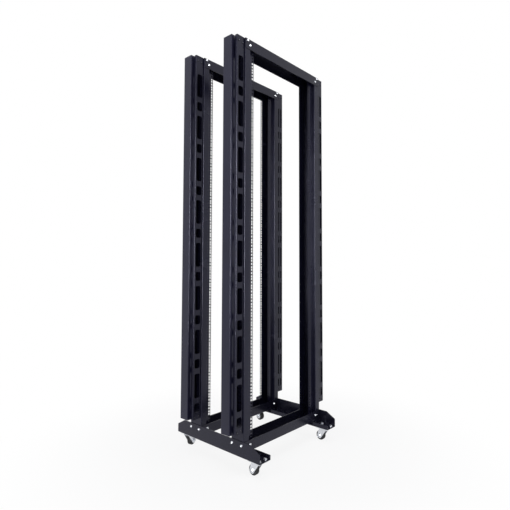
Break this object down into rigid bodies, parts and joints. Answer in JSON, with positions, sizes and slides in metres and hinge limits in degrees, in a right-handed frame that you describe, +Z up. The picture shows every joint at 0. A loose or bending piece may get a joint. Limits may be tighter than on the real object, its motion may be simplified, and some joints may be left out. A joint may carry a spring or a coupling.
{
  "type": "four post open frame rack",
  "caption": "Open frame equipment rack with folded posts, slotted panels, side cable channels, cross beams, two feet and swivel casters.",
  "frame": {"origin": "on the floor, in the middle between the left and right and the front and rear posts", "axes": "+Z up, -Y towards the front of the rack, +X to the right seen from the front"},
  "size_m": [0.73, 0.6, 2.0654],
  "materials": {
    "post_coat": "satin black powder coat",
    "panel_coat": "satin black powder coat",
    "channel_coat": "satin black powder coat",
    "beam_coat": "satin black powder coat",
    "foot_coat": "satin black powder coat",
    "caster_zinc": "bright zinc plated pressed steel",
    "caster_axle": "zinc plated bolt and nut",
    "wheel_core": "grey moulded nylon",
    "wheel_tyre": "black rubber"
  },
  "bodies": {
    "frame": {"post_front_left": "post_coat", "post_front_right": "post_coat", "post_rear_left": "post_coat", "post_rear_right": "post_coat", "slotted_panel_front_left": "panel_coat", "slotted_panel_front_right": "panel_coat", "slotted_panel_rear_left": "panel_coat", "slotted_panel_rear_right": "panel_coat", "side_channel_front_left": "channel_coat", "side_channel_front_right": "channel_coat", "side_channel_rear_left": "channel_coat", "side_channel_rear_right": "channel_coat", "top_beam_front": "beam_coat", "top_beam_rear": "beam_coat", "bottom_beam_front": "beam_coat", "bottom_beam_rear": "beam_coat", "foot_left": "foot_coat", "foot_right": "foot_coat", "caster_plate_front_left": "caster_zinc", "caster_plate_front_right": "caster_zinc", "caster_plate_rear_left": "caster_zinc", "caster_plate_rear_right": "caster_zinc"},
    "fork_front_left": {"caster_fork_front_left": "caster_zinc", "caster_axle_front_left": "caster_axle"},
    "wheel_front_left": {"caster_wheel_front_left": "wheel_core", "caster_tyre_front_left": "wheel_tyre"},
    "fork_front_right": {"caster_fork_front_right": "caster_zinc", "caster_axle_front_right": "caster_axle"},
    "wheel_front_right": {"caster_wheel_front_right": "wheel_core", "caster_tyre_front_right": "wheel_tyre"},
    "fork_rear_left": {"caster_fork_rear_left": "caster_zinc", "caster_axle_rear_left": "caster_axle"},
    "wheel_rear_left": {"caster_wheel_rear_left": "wheel_core", "caster_tyre_rear_left": "wheel_tyre"},
    "fork_rear_right": {"caster_fork_rear_right": "caster_zinc", "caster_axle_rear_right": "caster_axle"},
    "wheel_rear_right": {"caster_wheel_rear_right": "wheel_core", "caster_tyre_rear_right": "wheel_tyre"}
  },
  "joints": [
    {"name": "swivel_front_left", "type": "hinge", "parent": "frame", "child": "fork_front_left", "pos_m": [-0.2665, -0.254, 0.066], "axis": [0, 0, 1], "continuous": true},
    {"name": "roll_front_left", "type": "hinge", "parent": "fork_front_left", "child": "wheel_front_left", "pos_m": [-0.2665, -0.232, 0.025], "axis": [1, 0, 0], "continuous": true},
    {"name": "swivel_front_right", "type": "hinge", "parent": "frame", "child": "fork_front_right", "pos_m": [0.2665, -0.254, 0.066], "axis": [0, 0, 1], "continuous": true},
    {"name": "roll_front_right", "type": "hinge", "parent": "fork_front_right", "child": "wheel_front_right", "pos_m": [0.2665, -0.232, 0.025], "axis": [1, 0, 0], "continuous": true},
    {"name": "swivel_rear_left", "type": "hinge", "parent": "frame", "child": "fork_rear_left", "pos_m": [-0.2665, 0.254, 0.066], "axis": [0, 0, 1], "continuous": true},
    {"name": "roll_rear_left", "type": "hinge", "parent": "fork_rear_left", "child": "wheel_rear_left", "pos_m": [-0.24515, 0.25932, 0.025], "axis": [0.2419, -0.9703, 0], "continuous": true},
    {"name": "swivel_rear_right", "type": "hinge", "parent": "frame", "child": "fork_rear_right", "pos_m": [0.2665, 0.254, 0.066], "axis": [0, 0, 1], "continuous": true},
    {"name": "roll_rear_right", "type": "hinge", "parent": "fork_rear_right", "child": "wheel_rear_right", "pos_m": [0.2665, 0.232, 0.025], "axis": [-1, 0, 0], "continuous": true}
  ]
}
